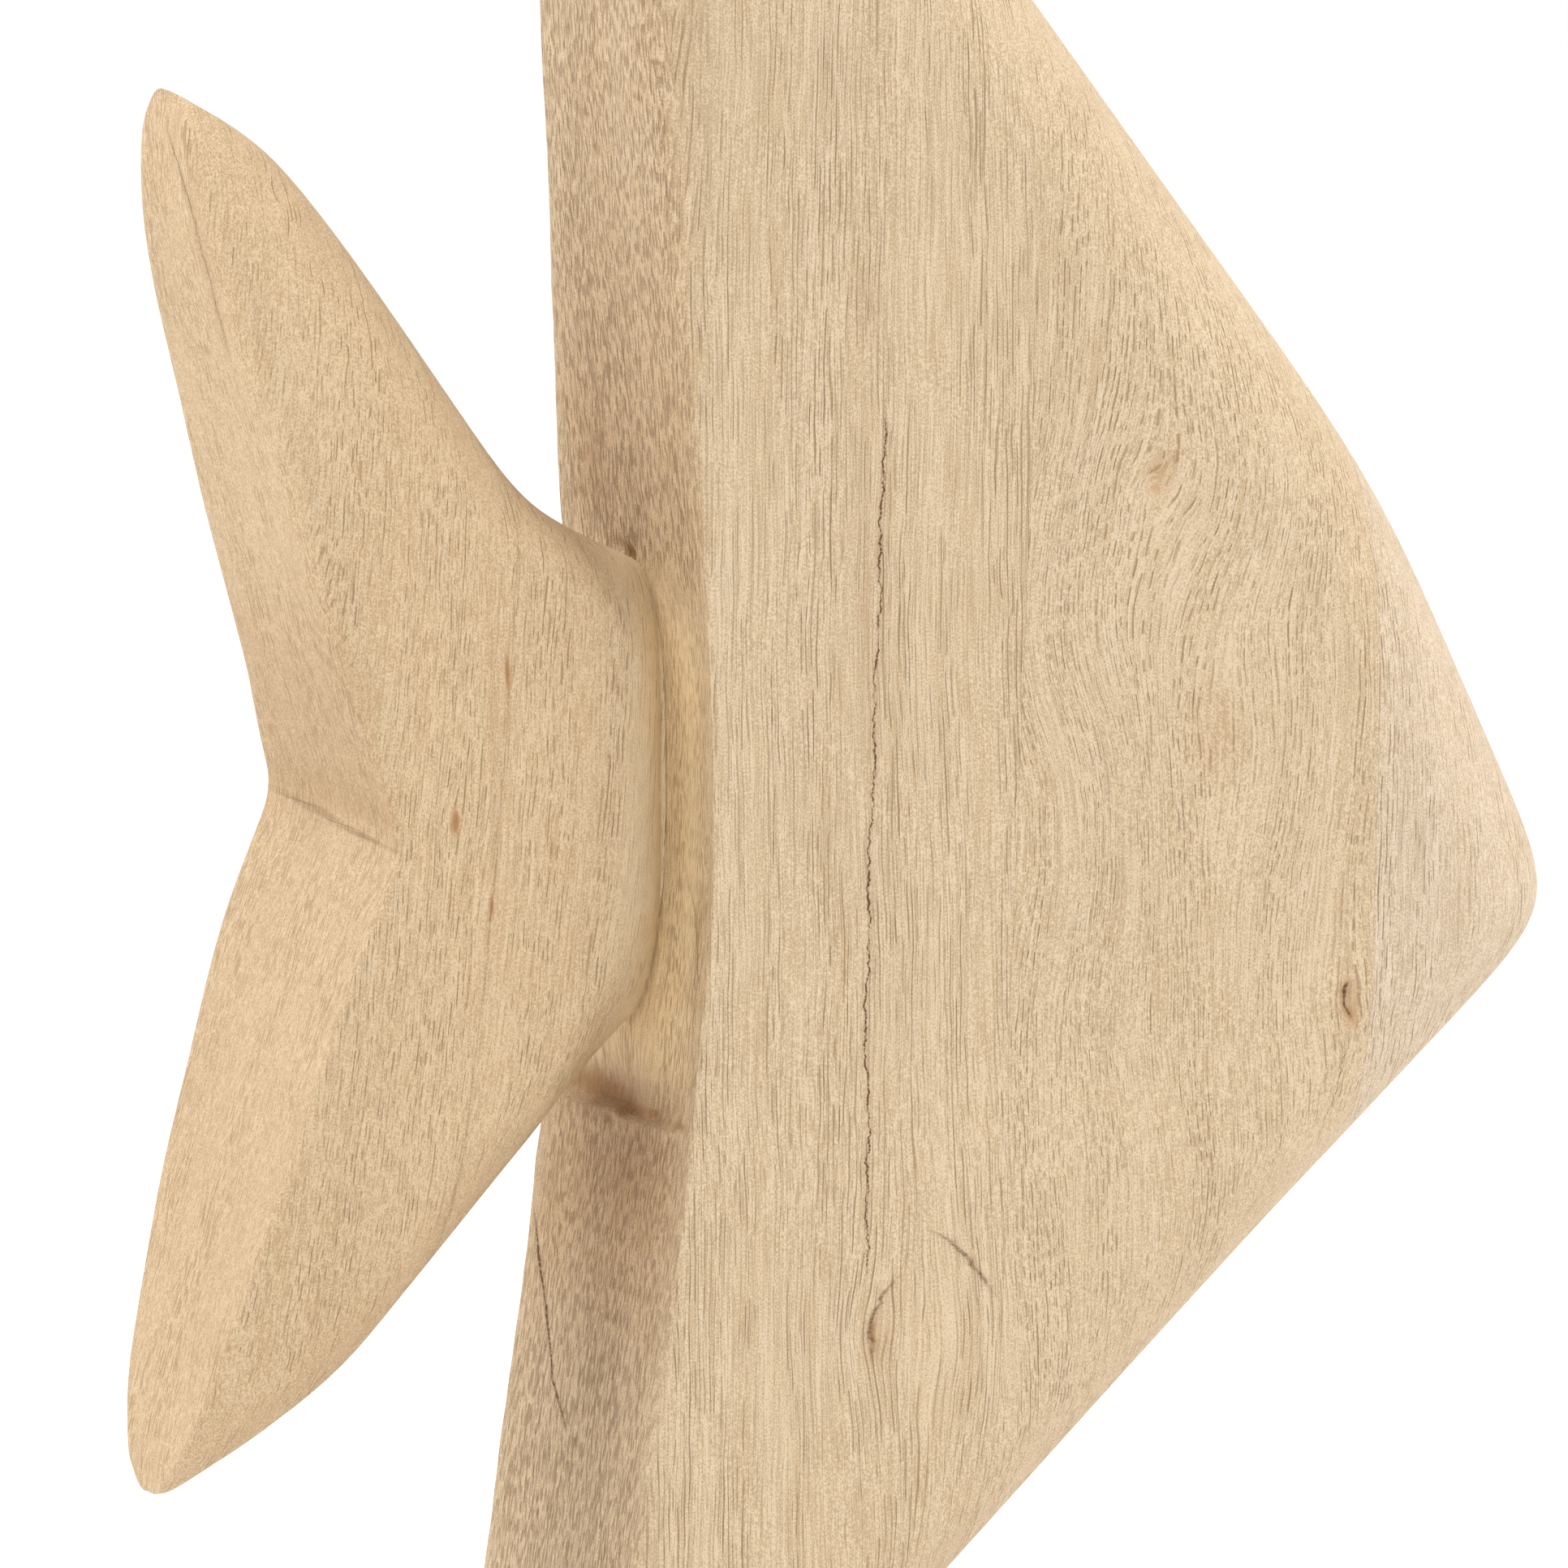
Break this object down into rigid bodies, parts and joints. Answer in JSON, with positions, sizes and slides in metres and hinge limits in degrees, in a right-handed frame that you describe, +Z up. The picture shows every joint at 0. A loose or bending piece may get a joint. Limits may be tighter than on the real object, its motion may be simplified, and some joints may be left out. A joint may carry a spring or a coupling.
{
  "type": "carved wooden angelfish ornament",
  "caption": "Carved bare-wood angelfish with long fins and a notched tail, glued up from boards and held upright by a steel rod on a block base.",
  "frame": {"origin": "bottom centre of the bounding box, on the underside of the felt sheet", "axes": "+X from the tail to the nose, Y through the thickness of the fish, +Z up along the wood grain"},
  "size_m": [0.3008, 0.11, 0.5699],
  "materials": {
    "body_rear_board": "pale open-pored hardwood, carved, sanded and left bare",
    "body_middle_board": "pale open-pored hardwood, carved, sanded and left bare",
    "nose_board": "pale open-pored hardwood, carved, sanded and left bare",
    "tail_outer_board": "pale open-pored hardwood, carved, sanded and left bare",
    "tail_inner_board": "pale open-pored hardwood, carved, sanded and left bare",
    "body_rear_dowel_upper": "turned hardwood dowel, glued",
    "body_rear_dowel_lower": "turned hardwood dowel, glued",
    "nose_dowel_upper": "turned hardwood dowel, glued",
    "nose_dowel_lower": "turned hardwood dowel, glued",
    "tail_dowel_upper": "turned hardwood dowel, glued",
    "tail_dowel_lower": "turned hardwood dowel, glued",
    "tail_root_dowel_upper": "turned hardwood dowel, glued",
    "tail_root_dowel_lower": "turned hardwood dowel, glued",
    "plinth": "same bare hardwood as the fish, eased edges",
    "stand_rod": "satin black painted steel rod",
    "rod_collar": "satin black painted steel",
    "rod_washer": "zinc plated",
    "rod_nut": "zinc plated",
    "felt_sheet": "pressed wool felt, self-adhesive"
  },
  "bodies": {
    "root": {"body_rear_board": "body_rear_board", "body_middle_board": "body_middle_board", "nose_board": "nose_board", "tail_outer_board": "tail_outer_board", "tail_inner_board": "tail_inner_board", "body_rear_dowel_upper": "body_rear_dowel_upper", "body_rear_dowel_lower": "body_rear_dowel_lower", "nose_dowel_upper": "nose_dowel_upper", "nose_dowel_lower": "nose_dowel_lower", "tail_dowel_upper": "tail_dowel_upper", "tail_dowel_lower": "tail_dowel_lower", "tail_root_dowel_upper": "tail_root_dowel_upper", "tail_root_dowel_lower": "tail_root_dowel_lower", "plinth": "plinth", "stand_rod": "stand_rod", "rod_collar": "rod_collar", "rod_washer": "rod_washer", "rod_nut": "rod_nut", "felt_sheet": "felt_sheet"}
  },
  "joints": []
}
